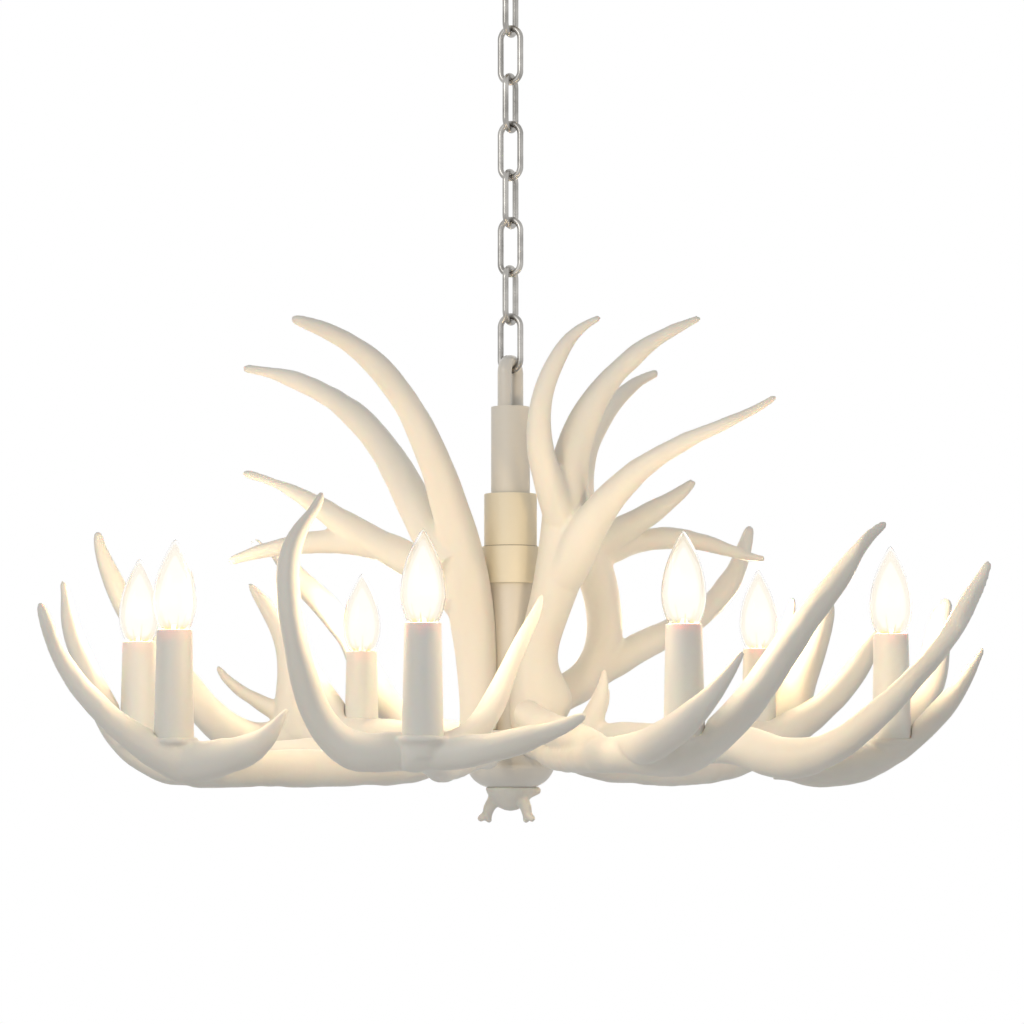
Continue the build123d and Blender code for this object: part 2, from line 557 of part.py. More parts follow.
def glass_outline(shrink):
    """Half outline of the flame-shaped bulb, drawn in on all sides by shrink."""
    foot = CANDLE_TOP - GLASS_BELOW_RIM
    tip = foot + GLASS_LONG - shrink
    belly = (GLASS_R - shrink, at(foot + GLASS_LONG * 0.37))
    neck = (GLASS_NECK_R - shrink, at(foot))
    shoulder = (GLASS_R * 0.62 - shrink, at(foot + GLASS_LONG * 0.72))
    outline = Spline(neck, belly, shoulder, (0.6, at(tip)), tangents=((0.35, 1), (-0.28, 1)))
    outline += Line((0.6, at(tip)), (0, at(tip)))
    outline += Line((0, at(tip)), (0, at(foot)))
    outline += Line((0, at(foot)), neck)
    return make_face(outline)


def bulb_glass(x, y):
    glass = revolve(Plane.XZ * glass_outline(0), Axis.Z)
    glass -= revolve(Plane.XZ * glass_outline(GLASS_WALL), Axis.Z)
    return Pos(x, y, 0) * glass


def bulb_cap(x, y):
    """Threaded shell, with a contact button at its foot."""
    top = CANDLE_TOP - GLASS_BELOW_RIM
    foot = top - CAP_LONG
    cap = upright(CAP_R, at(foot + 3), at(top), x, y)
    cap -= upright(CAP_R - CAP_WALL, at(foot + 4.5), at(top), x, y)
    button = Pos(x, y, at(foot + 1.5)) * Cone(2.4, CAP_R - 1, 3)
    return cap + button


def write(name, shape):
    """One node: a solid, or a group of separate solids."""
    solids = shape if isinstance(shape, list) else [shape]
    solids = [solid for piece in solids for solid in piece.solids()]
    export_step(solids[0] if len(solids) == 1 else Compound(children=solids),
                f"parts/{name}.step")


def build():
    os.makedirs("parts", exist_ok=True)
    write("canopy", canopy())
    write("mounting_bar", mounting_bar())
    write("canopy_loop", canopy_loop())
    write("stem_locknut", stem_locknut())
    for number in range(1, LINKS + 1):
        write(f"chain_link_{number}", chain_link(number))
    write("lamp_loop", lamp_loop())
    write("upper_tube", upper_tube())
    write("upper_collar", upper_collar())
    write("lower_sleeve", lower_sleeve())
    write("centre_tube", centre_tube())
    write("centre_rod", centre_rod())
    write("hub_drum", hub_drum())
    write("bottom_bowl", bottom_bowl())
    write("finial", finial())
    write("antler_screws", antler_screws())
    upper_screws = screw_places()[len(LOWER_ANTLERS):]
    for name, place in zip(UPPER_ANTLERS, upper_screws):
        write(f"upper_antler_{name}", upper_antler(name, place))
    candles = candle_places()
    for number, candle in enumerate(candles):
        x, y, _ = candle
        write(f"lower_antler_{number + 1}", lower_antler(number))
        write(f"candle_sleeve_{number + 1}", candle_sleeve(*candle))
        write(f"bulb_glass_{number + 1}", bulb_glass(x, y))
        write(f"bulb_cap_{number + 1}", bulb_cap(x, y))
    write("lampholders", [lampholder(x, y) for x, y, _ in candles])
    write("candle_nipples", [candle_nipple(*candle) for candle in candles])
    write("candle_nuts", [candle_nut(*candle) for candle in candles])


build()
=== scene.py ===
"""An antler chandelier with eight lit candle bulbs, on a chain. Metres throughout."""
import math

import bmesh
import bpy
from mathutils import Matrix, Vector


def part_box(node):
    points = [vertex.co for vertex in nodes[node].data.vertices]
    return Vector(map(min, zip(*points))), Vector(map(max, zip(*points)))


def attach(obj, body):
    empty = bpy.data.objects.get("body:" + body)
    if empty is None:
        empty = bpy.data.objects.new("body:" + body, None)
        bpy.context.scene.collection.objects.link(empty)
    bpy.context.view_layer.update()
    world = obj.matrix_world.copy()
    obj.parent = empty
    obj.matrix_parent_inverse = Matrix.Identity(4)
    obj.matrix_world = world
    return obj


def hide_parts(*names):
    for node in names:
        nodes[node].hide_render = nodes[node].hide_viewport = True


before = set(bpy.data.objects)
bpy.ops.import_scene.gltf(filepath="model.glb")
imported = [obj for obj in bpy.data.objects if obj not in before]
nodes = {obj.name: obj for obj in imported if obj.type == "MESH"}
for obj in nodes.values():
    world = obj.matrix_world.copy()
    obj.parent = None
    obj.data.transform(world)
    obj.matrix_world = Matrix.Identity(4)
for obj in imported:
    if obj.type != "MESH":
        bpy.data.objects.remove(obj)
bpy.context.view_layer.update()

CANDLES = range(1, 9)
UPPER_ANTLERS = ["upper_antler_left", "upper_antler_right", "upper_antler_back"]
LOWER_ANTLERS = [f"lower_antler_{number}" for number in CANDLES]
LAMP_FOOT_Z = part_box("finial")[0][2]
FULL_TURN = math.radians(360)
UP = (0, 0, 1)

# ---- the photograph's camera
CAMERA_BACK = 3.058             # from the column, towards -Y
CAMERA_ASIDE = 0.00127
CAMERA_Z = -0.7309              # height of the antlers' underside
CAMERA_TILT = 4.25              # degrees, upwards
CAMERA_LENS = 127.2             # millimetres
SENSOR_WIDTH = 36.0             # millimetres

# ---- studio
SKY_STRENGTH = 0.42
SKY_COLOUR = (0.97, 0.98, 1.0)
LAMP_AIM = (0, 0, -0.6)
STUDIO_LAMPS = [                # (name, place, width, watts, colour)
    ("key", (-2.0, -2.9, 0.8), 1.5, 25, (1.0, 0.99, 0.965)),
    ("fill", (2.4, -1.8, -0.2), 1.8, 3, (0.97, 0.98, 1.0)),
    ("back", (0.6, 2.4, 0.6), 1.6, 6, (1.0, 0.98, 0.95)),
]
FLOOR_SIZE = 6.0
FLOOR_DROP = 1.1                # below the finial's feet
FLOOR_GREY = 0.86
FLOOR_ROUGHNESS = 0.9

# ---- meshes
WELD_DISTANCE = 0.000001        # between loose triangles of a CAD mesh
CLOSE_DISTANCE = 0.00002        # between the ends of a spun outline
TURNED_STEPS = 24
BONE_SIDES = 20
BONE_RINGS = 12
SMOOTHING_FACTOR = 0.5

# ---- materials
CLOUD_DETAIL = 3.0
GRAIN_DETAIL = 5.0
GRAIN_ROUGHNESS = 0.65
PIT_PART = 0.35                 # of the pits in the grain
TONE_SPAN = (0.32, 0.68)        # cloud values that give the low and the high tone
ROUGHNESS_SPREAD = (-0.05, 0.07)
RELIEF_STRENGTH = 0.6
GLASS_TINT = (1.0, 0.99, 0.97)
GLASS_ROUGHNESS = 0.08
GLASS_IOR = 1.2

# ---- antlers
ANTLER_VOXEL = 0.0019
ANTLER_SMOOTHING = 5            # rounds of smoothing that round the forks
FLAT_DEPTH = 0.0013             # of the soft hand-carved flats along a limb
FLAT_SIZE = 0.026
FLAT_STRETCH = 2.8              # how much longer than wide a flat is
FOOT_RING = 0.0026              # thickness of the swelling round a candle's foot
RING_SINK = 0.55                # parts of that thickness, below the foot and past the sleeve
RING_SPREAD = 0.35
RING_SIDES = 16
RING_STEPS = 48
TAPER_REACH = 0.022             # how far from its axis a tip's own surface lies
TAPER_END = 1.3                 # parts of the axis, up to where the taper reaches
TAPER_CURVE = 1.4
TIP_PART = 0.42                 # of its own width that a tip keeps at the end of the axis
TIP_STATIONS = [                # (part of the axis, part of the limb's radius)
    (0.30, 0.90), (0.60, 0.77), (0.85, 0.60), (1.06, 0.39),
]
BLUNT_TIPS = {                  # (start, end, radius) above the candle's seat
    "lower_antler_4": ((0.348, -0.178, 0.081), (0.378, -0.182, 0.135), 0.0080),
    "lower_antler_6": ((-0.187, 0.324, 0.124), (-0.224, 0.326, 0.164), 0.0113),
}

# ---- finial, measured from its top on the bowl
FINIAL_VOXEL = 0.0009
FINIAL_SMOOTHING = 8
FINIAL_BODY = [                 # (radius, height)
    (0.0, 0.0), (0.0207, 0.0), (0.0207, -0.003), (0.0185, -0.0075), (0.0150, -0.0125),
    (0.0105, -0.0170), (0.0050, -0.0195), (0.0, -0.0203),
]
FINIAL_LEG = [                  # (reach, height, radius), as in the heel and the lobe
    (0.0125, -0.0090, 0.0060), (0.0180, -0.0175, 0.0049), (0.0196, -0.0232, 0.0042),
    (0.0250, -0.0264, 0.0029),
]
FINIAL_HEEL = [(0.0196, -0.0232, 0.0042), (0.0182, -0.0276, 0.0027)]
FINIAL_LOBE = [(0.0150, -0.0050, 0.0050), (0.0222, -0.0032, 0.0036)]
FINIAL_LEG_TURNS = (180, -44, 44)           # degrees from +X
FINIAL_LOBE_TURNS = (0, 112)

# ---- painted shade in the collar seam
SEAM_HEIGHT = 0.0013
SEAM_PROUD = 0.0003
SEAM_SIDES = 64

# ---- bulbs
BULB_OUTLINE = [                # (part of the radius, part of the height above the sleeve)
    (0.66, 0.0), (0.79, 0.06), (0.89, 0.13), (0.97, 0.21), (1.0, 0.30), (0.985, 0.39),
    (0.93, 0.49), (0.835, 0.59), (0.70, 0.69), (0.54, 0.78), (0.37, 0.86), (0.215, 0.93),
    (0.105, 0.975), (0.0, 1.0),
]
NECK_PART = 0.40                # neck of the glass, as part of the bulb's radius
GLASS_WALL = 0.0007
WIRES = 9                       # in the fan at the foot of a bulb
WIRE_TURN = 11                  # degrees that the fan turns from bulb to bulb
WIRE_FOOT = 0.34                # reach of its ends, as parts of the bulb's radius
WIRE_HEAD = 0.66
WIRE_SINK = 0.001               # below the sleeve's rim
WIRE_RISE = 0.10                # of the lowest heads, as part of the glass's height
WIRE_STEP = 0.05                # between the heads' three heights
WIRE_FOOT_R = 0.0009
WIRE_HEAD_R = 0.0003
WIRE_SIDES = 8
STEM_FOOT_R = 0.0046
STEM_HEAD_R = 0.0018
STEM_SIDES = 24
LIGHT_COLOUR = (1.0, 0.76, 0.47)
LIGHT_WATTS = 0.60
LIGHT_RADIUS = 0.011
LIGHT_RISE = 0.40               # as part of the glass's height


# ================================================================ camera and studio
def place_camera():
    """The photograph's camera."""
    lens = bpy.data.cameras.new("photograph camera")
    lens.lens = CAMERA_LENS
    lens.sensor_width = SENSOR_WIDTH
    camera = bpy.data.objects.new("photograph camera", lens)
    camera.location = (CAMERA_ASIDE, -CAMERA_BACK, CAMERA_Z)
    camera.rotation_euler = (math.radians(90 + CAMERA_TILT), 0, 0)
    bpy.context.scene.collection.objects.link(camera)
    bpy.context.scene.camera = camera


def soft_lamp(name, place, width, watts, colour):
    """A round studio lamp that points at the chandelier."""
    light = bpy.data.lights.new(name, "AREA")
    light.shape = "DISK"
    light.size = width
    light.energy = watts
    light.color = colour
    lamp = bpy.data.objects.new(name, light)
    lamp.location = place
    aim = Vector(LAMP_AIM) - Vector(place)
    lamp.rotation_euler = aim.to_track_quat("-Z", "Y").to_euler()
    bpy.context.scene.collection.objects.link(lamp)


def white_where_seen(tree, lit, white_kind):
    """Puts pure white in place of a lit shader for camera, glossy and transmission rays."""
    path = tree.nodes.new("ShaderNodeLightPath")
    seen = path.outputs["Is Camera Ray"]
    for ray in ("Is Glossy Ray", "Is Transmission Ray"):
        either = tree.nodes.new("ShaderNodeMath")
        either.operation = "MAXIMUM"
        tree.links.new(seen, either.inputs[0])
        tree.links.new(path.outputs[ray], either.inputs[1])
        seen = either.outputs[0]
    white = tree.nodes.new(white_kind)
    white.inputs["Color"].default_value = (1, 1, 1, 1)
    white.inputs["Strength"].default_value = 1.0
    mix = tree.nodes.new("ShaderNodeMixShader")
    tree.links.new(seen, mix.inputs["Fac"])
    tree.links.new(lit, mix.inputs[1])
    tree.links.new(white.outputs[0], mix.inputs[2])
    return mix.outputs[0]


def white_studio():
    """A soft even sky that the camera sees as white."""
    world = bpy.data.worlds.new("studio")
    bpy.context.scene.world = world
    world.use_nodes = True
    tree = world.node_tree
    tree.nodes.clear()
    sky = tree.nodes.new("ShaderNodeBackground")
    sky.inputs["Color"].default_value = (*SKY_COLOUR, 1)
    sky.inputs["Strength"].default_value = SKY_STRENGTH
    out = tree.nodes.new("ShaderNodeOutputWorld")
    shown = white_where_seen(tree, sky.outputs[0], "ShaderNodeBackground")
    tree.links.new(shown, out.inputs["Surface"])


def pale_floor():
    """A floor well below the lamp, white to the camera as in the photograph."""
    form = bmesh.new()
    bmesh.ops.create_grid(form, x_segments=1, y_segments=1, size=FLOOR_SIZE)
    bmesh.ops.translate(form, verts=form.verts, vec=(0, 0, LAMP_FOOT_Z - FLOOR_DROP))
    floor = finished_piece(form, "floor")
    paper = bpy.data.materials.new("floor paper")
    paper.use_nodes = True
    tree = paper.node_tree
    body = tree.nodes["Principled BSDF"]
    body.inputs["Base Color"].default_value = (FLOOR_GREY, FLOOR_GREY, FLOOR_GREY, 1)
    body.inputs["Roughness"].default_value = FLOOR_ROUGHNESS
    shown = white_where_seen(tree, body.outputs[0], "ShaderNodeEmission")
    tree.links.new(shown, tree.nodes["Material Output"].inputs["Surface"])
    floor.data.materials.append(paper)


# ================================================================ mesh helpers
def finished_piece(form, name):
    """Turns a bmesh into a smooth object that sits at the origin."""
    mesh = bpy.data.meshes.new(name)
    form.to_mesh(mesh)
    form.free()
    for face in mesh.polygons:
        face.use_smooth = True
    piece = bpy.data.objects.new(name, mesh)
    bpy.context.scene.collection.objects.link(piece)
    return piece


def welded(node_name):
    """A bmesh copy of a CAD node with its loose triangles joined."""
    form = bmesh.new()
    form.from_mesh(nodes[node_name].data)
    bmesh.ops.remove_doubles(form, verts=form.verts, dist=WELD_DISTANCE)
    return form


def turned(form, outline):
    """Spins a half outline, given as (radius, height), into a closed round body."""
    line = [form.verts.new((radius, 0, height)) for radius, height in outline]
    for lower, upper in zip(line, line[1:]):
        form.edges.new((lower, upper))
    bmesh.ops.spin(form, geom=form.verts[:] + form.edges[:], cent=(0, 0, 0), axis=UP,
                   angle=FULL_TURN, steps=TURNED_STEPS, use_merge=True)
    bmesh.ops.remove_doubles(form, verts=form.verts, dist=CLOSE_DISTANCE)
    bmesh.ops.recalc_face_normals(form, faces=form.faces)


def add_form(form, other):
    """Moves the contents of another bmesh into this one."""
    mesh = bpy.data.meshes.new("part of a form")
    other.to_mesh(mesh)
    other.free()
    form.from_mesh(mesh)
    bpy.data.meshes.remove(mesh)


def add_ring(form, centre, radius, thickness):
    """Adds a round ring to a bmesh."""
    ring = bmesh.new()
    bmesh.ops.create_circle(ring, segments=RING_SIDES, radius=thickness)
    bmesh.ops.rotate(ring, verts=ring.verts,
                     matrix=Matrix.Rotation(math.radians(90), 3, "X"))
    bmesh.ops.translate(ring, verts=ring.verts, vec=(radius, 0, 0))
    bmesh.ops.spin(ring, geom=ring.verts[:] + ring.edges[:], cent=(0, 0, 0), axis=UP,
                   angle=FULL_TURN, steps=RING_STEPS, use_merge=True)
    bmesh.ops.recalc_face_normals(ring, faces=ring.faces)
    bmesh.ops.translate(ring, verts=ring.verts, vec=centre)
    add_form(form, ring)


def add_bone(form, stations):
    """Adds a knuckled, tapering limb to a bmesh, through stations of (place, radius)."""
    for place, radius in stations:
        bmesh.ops.create_uvsphere(form, u_segments=BONE_SIDES, v_segments=BONE_RINGS,
                                  radius=radius, matrix=Matrix.Translation(place))
    for (start, foot_r), (end, tip_r) in zip(stations, stations[1:]):
        turn = (end - start).to_track_quat("Z", "Y").to_matrix().to_4x4()
        bmesh.ops.create_cone(form, cap_ends=True, segments=BONE_SIDES, radius1=foot_r,
                              radius2=tip_r, depth=(end - start).length,
                              matrix=Matrix.Translation((start + end) / 2) @ turn)


def apply_modifiers(piece):
    """Makes the result of a piece's modifiers its own mesh."""
    graph = bpy.context.evaluated_depsgraph_get()
    mesh = bpy.data.meshes.new_from_object(piece.evaluated_get(graph))
    piece.modifiers.clear()
    piece.data = mesh
    for face in mesh.polygons:
        face.use_smooth = True


# ================================================================ materials
def mottle_group():
    """Cloudy tone and fine cast grain from Object coordinates, drawn out along Z."""
    group = bpy.data.node_groups.new("cast mottle", "ShaderNodeTree")
    face = group.interface
    for wanted in ("Cloud Scale", "Grain Scale", "Z Stretch"):
        face.new_socket(wanted, in_out="INPUT", socket_type="NodeSocketFloat")
    for given in ("Tone", "Grain"):
        face.new_socket(given, in_out="OUTPUT", socket_type="NodeSocketFloat")
    entry = group.nodes.new("NodeGroupInput")
    leave = group.nodes.new("NodeGroupOutput")
    place = group.nodes.new("ShaderNodeTexCoord")
    drawn = group.nodes.new("ShaderNodeCombineXYZ")
    drawn.inputs["X"].default_value = 1.0
    drawn.inputs["Y"].default_value = 1.0
    stretch = group.nodes.new("ShaderNodeVectorMath")
    stretch.operation = "MULTIPLY"
    cloud = group.nodes.new("ShaderNodeTexNoise")
    cloud.inputs["Detail"].default_value = CLOUD_DETAIL
    grain = group.nodes.new("ShaderNodeTexNoise")
    grain.inputs["Detail"].default_value = GRAIN_DETAIL
    grain.inputs["Roughness"].default_value = GRAIN_ROUGHNESS
    pits = group.nodes.new("ShaderNodeTexVoronoi")
    pits.feature = "SMOOTH_F1"
    join = group.nodes.new("ShaderNodeMath")
    join.operation = "MULTIPLY_ADD"
    join.inputs[1].default_value = PIT_PART
    links = group.links
    links.new(entry.outputs["Z Stretch"], drawn.inputs["Z"])
    links.new(place.outputs["Object"], stretch.inputs[0])
    links.new(drawn.outputs[0], stretch.inputs[1])
    for texture, scale in ((cloud, "Cloud Scale"), (grain, "Grain Scale"),
                           (pits, "Grain Scale")):
        links.new(stretch.outputs[0], texture.inputs["Vector"])
        links.new(entry.outputs[scale], texture.inputs["Scale"])
    links.new(pits.outputs["Distance"], join.inputs[0])
    links.new(grain.outputs["Fac"], join.inputs[2])
    links.new(cloud.outputs["Fac"], leave.inputs["Tone"])
    links.new(join.outputs[0], leave.inputs["Grain"])
    return group


MOTTLE = mottle_group()


def surface(name, low, high, cloud_scale, grain_scale, roughness, bump, swell=0.0,
            stretch=1.0, **sockets):
    """A colour that clouds between two tones, with a slow swell under a fine grain."""
    material = bpy.data.materials.new(name)
    material.use_nodes = True
    tree = material.node_tree
    body = tree.nodes["Principled BSDF"]
    mottle = tree.nodes.new("ShaderNodeGroup")
    mottle.node_tree = MOTTLE
    mottle.inputs["Cloud Scale"].default_value = cloud_scale
    mottle.inputs["Grain Scale"].default_value = grain_scale
    mottle.inputs["Z Stretch"].default_value = stretch
    tone = tree.nodes.new("ShaderNodeValToRGB")
    for stop, position, colour in zip(tone.color_ramp.elements, TONE_SPAN, (low, high)):
        stop.position = position
        stop.color = (*colour, 1)
    rough = tree.nodes.new("ShaderNodeMapRange")
    for end, change in zip(("To Min", "To Max"), ROUGHNESS_SPREAD):
        rough.inputs[end].default_value = roughness + change
    links = tree.links
    relief = body.inputs["Normal"]
    for source, depth in (("Grain", bump), ("Tone", swell)):
        if depth:
            layer = tree.nodes.new("ShaderNodeBump")
            layer.inputs["Distance"].default_value = depth
            layer.inputs["Strength"].default_value = RELIEF_STRENGTH
            links.new(mottle.outputs[source], layer.inputs["Height"])
            links.new(layer.outputs["Normal"], relief)
            relief = layer.inputs["Normal"]
    links.new(mottle.outputs["Tone"], tone.inputs["Fac"])
    links.new(tone.outputs["Color"], body.inputs["Base Color"])
    links.new(mottle.outputs["Grain"], rough.inputs["Value"])
    links.new(rough.outputs["Result"], body.inputs["Roughness"])
    for socket, value in sockets.items():
        body.inputs[socket.replace("_", " ")].default_value = value
    return material


def clear_glass():
    """Thin clear glass."""
    material = bpy.data.materials.new("bulb glass")
    material.use_nodes = True
    body = material.node_tree.nodes["Principled BSDF"]
    body.inputs["Base Color"].default_value = (*GLASS_TINT, 1)
    body.inputs["Roughness"].default_value = GLASS_ROUGHNESS
    body.inputs["IOR"].default_value = GLASS_IOR
    body.inputs["Transmission Weight"].default_value = 1.0
    return material


def glow(name, colour, strength, alpha=1.0):
    """A finish that only gives light."""
    material = bpy.data.materials.new(name)
    material.use_nodes = True
    body = material.node_tree.nodes["Principled BSDF"]
    body.inputs["Base Color"].default_value = (0, 0, 0, 1)
    body.inputs["Specular IOR Level"].default_value = 0.0
    body.inputs["Roughness"].default_value = 1.0
    body.inputs["Emission Color"].default_value = (*colour, 1)
    body.inputs["Emission Strength"].default_value = strength
    body.inputs["Alpha"].default_value = alpha
    material.cycles.emission_sampling = "NONE"
    return material


RESIN = surface("antler resin", (0.79, 0.745, 0.655), (0.87, 0.835, 0.755), 9, 420, 0.50,
                0.00012, swell=0.0012, stretch=0.45, Subsurface_Weight=0.15,
                Subsurface_Scale=0.004)
TUBE_IVORY = surface("tube ivory", (0.74, 0.70, 0.625), (0.80, 0.765, 0.69), 14, 700, 0.38,
                     0.00003, stretch=0.3)
COLLAR_IVORY = surface("collar ivory", (0.80, 0.735, 0.58), (0.84, 0.78, 0.63), 14, 700,
                       0.34, 0.00003, stretch=0.3)
LOOP_ENAMEL = surface("loop enamel", (0.72, 0.68, 0.61), (0.78, 0.745, 0.675), 14, 700,
                      0.18, 0.00002, Coat_Weight=0.4, Coat_Roughness=0.12)
SLEEVE = surface("candle sleeve", (0.80, 0.76, 0.685), (0.86, 0.83, 0.765), 26, 600, 0.45,
                 0.00003, swell=0.0006, stretch=0.2, Subsurface_Weight=0.2,
                 Subsurface_Scale=0.003)
NICKEL = surface("satin nickel", (0.27, 0.26, 0.245), (0.47, 0.455, 0.43), 60, 900, 0.26,
                 0.00004, Metallic=1.0)
ZINC = surface("zinc plate", (0.50, 0.51, 0.52), (0.63, 0.64, 0.65), 45, 800, 0.4, 0.00004,
               Metallic=1.0)
BRASS = surface("turned brass", (0.66, 0.50, 0.24), (0.78, 0.62, 0.32), 50, 900, 0.3,
                0.00003, Metallic=1.0)
HOLDER = surface("moulded holder", (0.84, 0.82, 0.77), (0.88, 0.865, 0.82), 30, 500, 0.5,
                 0.00003)
CAP = surface("bulb cap", (0.56, 0.55, 0.53), (0.72, 0.71, 0.69), 60, 900, 0.3, 0.00003,
              Metallic=1.0)
# painted shade: a dark brown that stands for the shadow in the gap under the upper collar
SEAM_SHADE = surface("shadowed seam", (0.30, 0.25, 0.18), (0.38, 0.32, 0.24), 90, 900, 0.7,
               0.00003)
GLASS = clear_glass()
FILAMENT = glow("filament light", (1.0, 0.76, 0.38), 1.15)
GLOW_CORE = glow("glow core", (1.0, 1.0, 0.99), 1.5)
GLOW_INNER = glow("glow inner haze", (1.0, 0.96, 0.87), 1.05, 0.6)
GLOW_OUTER = glow("glow outer haze", (1.0, 0.92, 0.79), 0.98, 0.4)


def finish_nodes():
    """Gives every CAD node its finish."""
    finishes = {
        "canopy": TUBE_IVORY, "mounting_bar": ZINC, "canopy_loop": NICKEL,
        "stem_locknut": ZINC, "lamp_loop": LOOP_ENAMEL, "upper_tube": TUBE_IVORY,
        "upper_collar": COLLAR_IVORY, "lower_sleeve": COLLAR_IVORY,
        "centre_tube": TUBE_IVORY, "centre_rod": ZINC, "hub_drum": TUBE_IVORY,
        "bottom_bowl": TUBE_IVORY, "finial": RESIN, "antler_screws": ZINC,
        "lampholders": HOLDER, "candle_nipples": BRASS, "candle_nuts": BRASS,
    }
    for number in CANDLES:
        finishes[f"chain_link_{number}"] = NICKEL
        finishes[f"candle_sleeve_{number}"] = SLEEVE
        finishes[f"bulb_glass_{number}"] = GLASS
        finishes[f"bulb_cap_{number}"] = CAP
    for name in UPPER_ANTLERS + LOWER_ANTLERS:
        finishes[name] = RESIN
    for name, material in finishes.items():
        mesh = nodes[name].data
        mesh.materials.clear()
        mesh.materials.append(material)


# ================================================================ antlers and finial
def carved_flats():
    """A clouds texture and an empty that draws it out along Z, as a carver's knife would."""
    texture = bpy.data.textures.new("carved flats", "CLOUDS")
    texture.noise_scale = FLAT_SIZE
    texture.noise_depth = 1
    direction = bpy.data.objects.new("flats direction", None)
    direction.scale = (1, 1, FLAT_STRETCH)
    bpy.context.scene.collection.objects.link(direction)
    bpy.context.view_layer.update()
    return texture, direction


def candle_foot(number):
    """The centre of a candle sleeve's lower end, and its radius."""
    low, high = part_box(f"candle_sleeve_{number}")
    centre = Vector(((low[0] + high[0]) / 2, (low[1] + high[1]) / 2, low[2]))
    return centre, (high[0] - low[0]) / 2


def taper_tip(form, start, end, limb_r):
    """Draws a limb in towards its tip, and rounds the tip."""
    axis = end - start
    for vert in form.verts:
        along = (vert.co - start).dot(axis) / axis.length_squared
        centre = start + axis * along
        if 0 < along < TAPER_END and (vert.co - centre).length < TAPER_REACH:
            keep = 1 - (1 - TIP_PART) * min(along, 1.0) ** TAPER_CURVE
            vert.co = centre + (vert.co - centre) * keep
    add_bone(form, [(start + axis * part, limb_r * size) for part, size in TIP_STATIONS])


def in_one_skin(form, name, node_name, voxel, rounds, flats=None):
    """Makes a bmesh of touching forms one cast piece that stands for a CAD node."""
    cast = finished_piece(form, name)
    skin = cast.modifiers.new("one skin", "REMESH")
    skin.mode = "VOXEL"
    skin.voxel_size = voxel
    rounding = cast.modifiers.new("rounded forks", "SMOOTH")
    rounding.factor = SMOOTHING_FACTOR
    rounding.iterations = rounds
    if flats:
        carving = cast.modifiers.new("carved flats", "DISPLACE")
        carving.texture, carving.texture_coords_object = flats
        carving.texture_coords = "OBJECT"
        carving.strength = FLAT_DEPTH * 2
        carving.mid_level = 0.5
    apply_modifiers(cast)
    cast.data.materials.clear()
    cast.data.materials.append(RESIN)
    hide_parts(node_name)
    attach(cast, "lamp")


def cast_antler(node_name, flats, candle=None):
    """An antler with webbed forks, soft flats and a swelling round its candle's foot."""
    form = welded(node_name)
    if candle:
        centre, radius = candle_foot(candle)
        add_ring(form, centre - Vector((0, 0, FOOT_RING * RING_SINK)),
                 radius + FOOT_RING * RING_SPREAD, FOOT_RING)
        if node_name in BLUNT_TIPS:
            start, end, limb_r = BLUNT_TIPS[node_name]
            seat = Vector((0, 0, centre.z))
            taper_tip(form, seat + Vector(start), seat + Vector(end), limb_r)
    in_one_skin(form, f"{node_name}_cast", node_name, ANTLER_VOXEL, ANTLER_SMOOTHING, flats)


def cast_finial():
    """A cast drop on three splayed feet, with two lobes between them."""
    _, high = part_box("finial")
    top = Vector((0, 0, high[2]))
    form = bmesh.new()
    turned(form, FINIAL_BODY)
    bmesh.ops.translate(form, verts=form.verts, vec=top)
    limbs = [(turn, limb) for turn in FINIAL_LEG_TURNS for limb in (FINIAL_LEG, FINIAL_HEEL)]
    limbs += [(turn, FINIAL_LOBE) for turn in FINIAL_LOBE_TURNS]
    for turn, limb in limbs:
        out = Vector((math.cos(math.radians(turn)), math.sin(math.radians(turn)), 0))
        add_bone(form, [(top + out * reach + Vector((0, 0, height)), radius)
                        for reach, height, radius in limb])
    in_one_skin(form, "finial_cast", "finial", FINIAL_VOXEL, FINIAL_SMOOTHING)


def seam_shade_ring():
    """A dark ring of painted shade in the joint between the upper collar and the sleeve
    below it.
    """
    low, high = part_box("upper_collar")
    radius = (high[0] - low[0]) / 2
    form = bmesh.new()
    ring = bmesh.ops.create_circle(form, segments=SEAM_SIDES, radius=radius + SEAM_PROUD)
    bmesh.ops.translate(form, verts=ring["verts"], vec=(0, 0, low[2] + SEAM_HEIGHT / 2))
    inner = bmesh.ops.extrude_edge_only(form, edges=form.edges[:])
    moved = [part for part in inner["geom"] if isinstance(part, bmesh.types.BMVert)]
    bmesh.ops.translate(form, verts=moved, vec=(0, 0, -SEAM_HEIGHT))
    seam = finished_piece(form, "collar_seam_shade")
    wall = seam.modifiers.new("wall", "SOLIDIFY")
    wall.thickness = SEAM_PROUD
    wall.offset = 0.0
    seam.data.materials.append(SEAM_SHADE)
    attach(seam, "lamp")


# ================================================================ bulbs
# bodies of light inside a bulb: (name, material, width, low end, high end)
GLOW_BODIES = [
    ("glow_core", GLOW_CORE, 0.70, 0.07, 0.82),
    ("glow_inner", GLOW_INNER, 0.82, 0.04, 0.89),
    ("glow_outer", GLOW_OUTER, 0.92, 0.02, 0.95),
]


def bulb_place(number):
    """A bulb's axis in plan, the heights of its sleeve's rim, its neck and its tip, and
    its radius."""
    low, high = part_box(f"bulb_glass_{number}")
    _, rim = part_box(f"candle_sleeve_{number}")
    axis = Vector(((low[0] + high[0]) / 2, (low[1] + high[1]) / 2, 0))
    return axis, rim[2], low[2], high[2], (high[0] - low[0]) / 2


def finish_bulb_part(form, name, number, material, rounded=True):
    """Turns a bmesh into a piece that goes with one bulb."""
    part = finished_piece(form, f"{name}_{number}")
    if rounded:
        rounding = part.modifiers.new("rounding", "SUBSURF")
        rounding.levels = 1
        rounding.render_levels = 1
    part.data.materials.append(material)
    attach(part, f"bulb_{number}")
    return part


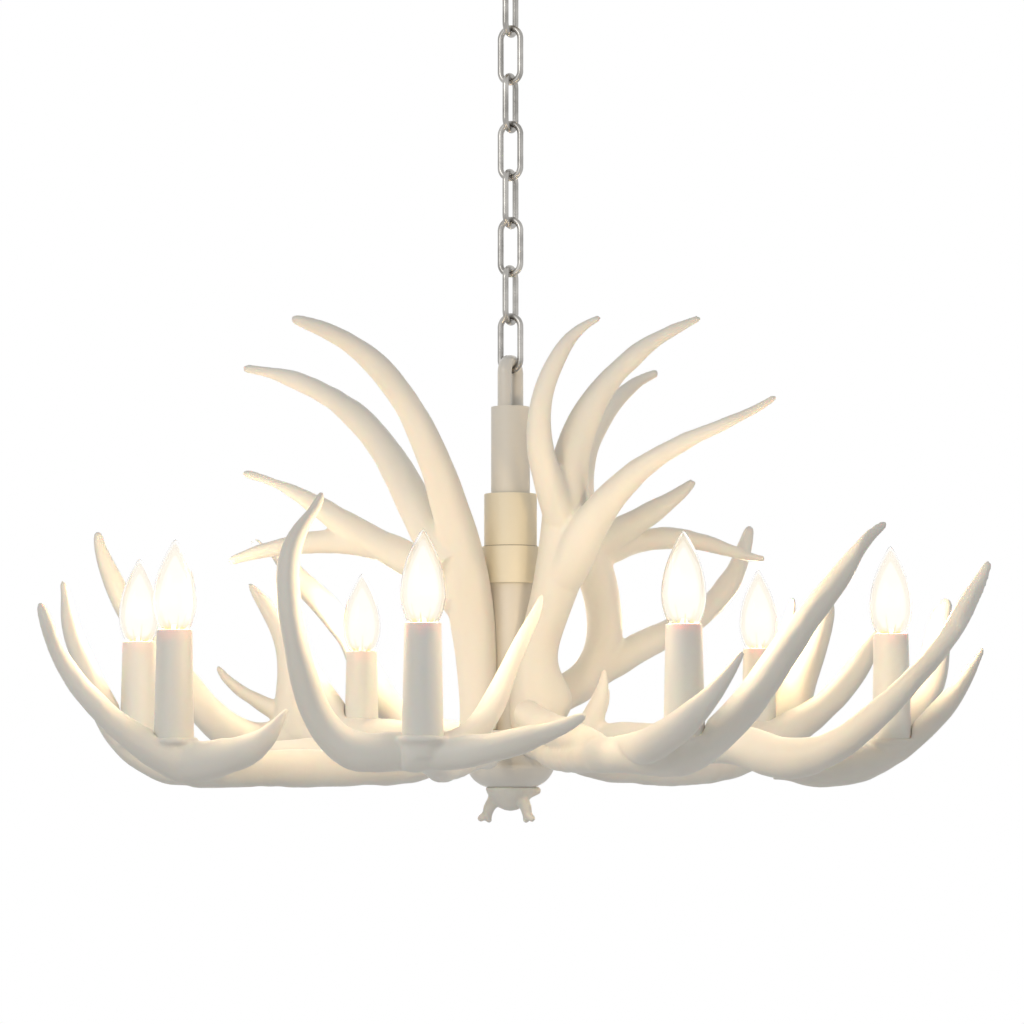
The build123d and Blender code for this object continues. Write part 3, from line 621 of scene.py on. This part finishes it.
def bulb_shell(number):
    """The blown glass of one bulb, from its neck in the sleeve to its rounded tip."""
    axis, rim, neck, tip, radius = bulb_place(number)
    form = bmesh.new()
    turned(form, [(NECK_PART * radius, neck), (NECK_PART * radius, (neck + rim) / 2)]
           + [(part * radius, rim + rise * (tip - rim)) for part, rise in BULB_OUTLINE])
    bmesh.ops.translate(form, verts=form.verts, vec=axis)
    shell = finish_bulb_part(form, "bulb_shell", number, GLASS)
    wall = shell.modifiers.new("glass wall", "SOLIDIFY")
    wall.thickness = GLASS_WALL
    wall.offset = -1.0
    shell.visible_shadow = False
    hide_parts(f"bulb_glass_{number}")


def glow_body(number, name, material, width, low, high):
    """A body of light inside one bulb, as wide and as high as the parts of it given."""
    axis, rim, _, tip, radius = bulb_place(number)
    base = rim + (tip - rim) * low
    length = (tip - rim) * (high - low)
    form = bmesh.new()
    turned(form, [(0.0, base)] + [(part * width * radius, base + rise * length)
                                  for part, rise in BULB_OUTLINE])
    bmesh.ops.translate(form, verts=form.verts, vec=axis)
    finish_bulb_part(form, name, number, material).visible_shadow = False


def filament(number):
    """A fan of bright support wires at the foot of one bulb, round a pale stem."""
    axis, rim, neck, tip, radius = bulb_place(number)
    form = bmesh.new()
    for wire in range(WIRES):
        turn = math.radians(360 * wire / WIRES + WIRE_TURN * number)
        lean = Vector((math.cos(turn), math.sin(turn), 0)) * radius
        rise = WIRE_RISE + WIRE_STEP * (wire % 3)
        base = axis + lean * WIRE_FOOT + Vector((0, 0, rim - WIRE_SINK))
        head = axis + lean * WIRE_HEAD + Vector((0, 0, rim + (tip - rim) * rise))
        made = bmesh.ops.create_cone(form, cap_ends=True, segments=WIRE_SIDES,
                                     radius1=WIRE_FOOT_R, radius2=WIRE_HEAD_R,
                                     depth=(head - base).length)
        aim = (head - base).to_track_quat("Z", "Y").to_matrix()
        bmesh.ops.rotate(form, verts=made["verts"], matrix=aim)
        bmesh.ops.translate(form, verts=made["verts"], vec=(base + head) / 2)
    finish_bulb_part(form, "filament", number, FILAMENT, rounded=False)

    form = bmesh.new()
    made = bmesh.ops.create_cone(form, cap_ends=True, segments=STEM_SIDES,
                                 radius1=STEM_FOOT_R, radius2=STEM_HEAD_R,
                                 depth=(rim - neck) * 2)
    bmesh.ops.translate(form, verts=made["verts"], vec=axis + Vector((0, 0, rim)))
    finish_bulb_part(form, "filament_stem", number, HOLDER, rounded=False)


def light_bulb(number):
    """The warm light that one bulb gives."""
    axis, rim, _, tip, _ = bulb_place(number)
    light = bpy.data.lights.new(f"bulb {number}", "POINT")
    light.color = LIGHT_COLOUR
    light.energy = LIGHT_WATTS
    light.shadow_soft_size = LIGHT_RADIUS
    lamp = bpy.data.objects.new(f"bulb {number}", light)
    lamp.location = axis + Vector((0, 0, rim + (tip - rim) * LIGHT_RISE))
    bpy.context.scene.collection.objects.link(lamp)
    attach(lamp, f"bulb_{number}")


# ================================================================ making
bpy.context.scene.view_settings.view_transform = "Standard"
place_camera()
white_studio()
pale_floor()
for studio_lamp in STUDIO_LAMPS:
    soft_lamp(*studio_lamp)
finish_nodes()
antler_flats = carved_flats()
for antler in UPPER_ANTLERS:
    cast_antler(antler, antler_flats)
for candle_number, antler in zip(CANDLES, LOWER_ANTLERS):
    cast_antler(antler, antler_flats, candle_number)
bpy.data.objects.remove(antler_flats[1])
cast_finial()
# a dark ring of painted shade under the upper collar
seam_shade_ring()
for candle_number in CANDLES:
    filament(candle_number)
    for glow_parts in GLOW_BODIES:
        glow_body(candle_number, *glow_parts)
    bulb_shell(candle_number)
    light_bulb(candle_number)
